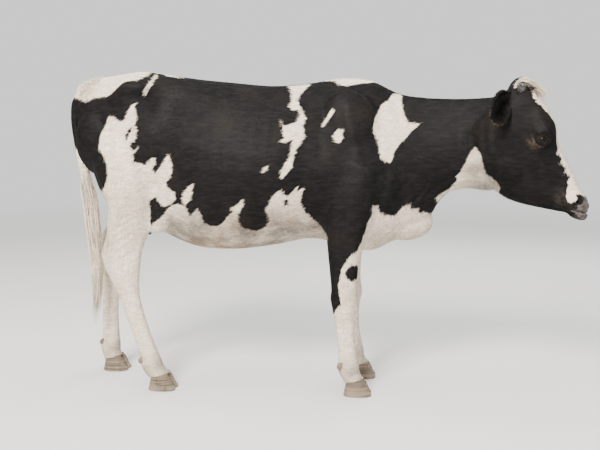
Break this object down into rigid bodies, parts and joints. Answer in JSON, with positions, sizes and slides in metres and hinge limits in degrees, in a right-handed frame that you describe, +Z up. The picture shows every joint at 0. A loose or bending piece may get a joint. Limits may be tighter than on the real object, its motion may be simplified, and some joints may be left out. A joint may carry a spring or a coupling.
{
  "type": "cow",
  "caption": "Black and white dairy heifer standing still, head lowered a little and turned to the right, tail hanging, at life size.",
  "frame": {"origin": "on the floor, under the middle of the animal's box", "axes": "+X from tail to head, +Y to the animal's left, +Z up"},
  "size_m": [2.174, 0.5994, 1.3531],
  "materials": {
    "coat_black": "short smooth hair, brown-black, with a slight sheen",
    "coat_white": "short smooth hair, warm white, stained with soil low down",
    "eye": "wet and glossy, very dark brown",
    "horn": "dull grey horn",
    "hoof": "dull horn with growth rings, dusty"
  },
  "bodies": {
    "root": {"head": "coat_black", "neck": "coat_black", "torso": "coat_black", "tail": "coat_white", "leg_fore_left": "coat_white", "leg_fore_right": "coat_white", "leg_hind_left": "coat_white", "leg_hind_right": "coat_white", "ear_left": "coat_black", "ear_right": "coat_black", "eye_left": "eye", "eye_right": "eye", "horn_left": "horn", "horn_right": "horn", "claw_fore_left_inner": "hoof", "dewclaw_fore_left_inner": "hoof", "claw_fore_left_outer": "hoof", "dewclaw_fore_left_outer": "hoof", "claw_fore_right_inner": "hoof", "dewclaw_fore_right_inner": "hoof", "claw_fore_right_outer": "hoof", "dewclaw_fore_right_outer": "hoof", "claw_hind_left_inner": "hoof", "dewclaw_hind_left_inner": "hoof", "claw_hind_left_outer": "hoof", "dewclaw_hind_left_outer": "hoof", "claw_hind_right_inner": "hoof", "dewclaw_hind_right_inner": "hoof", "claw_hind_right_outer": "hoof", "dewclaw_hind_right_outer": "hoof"}
  },
  "joints": []
}
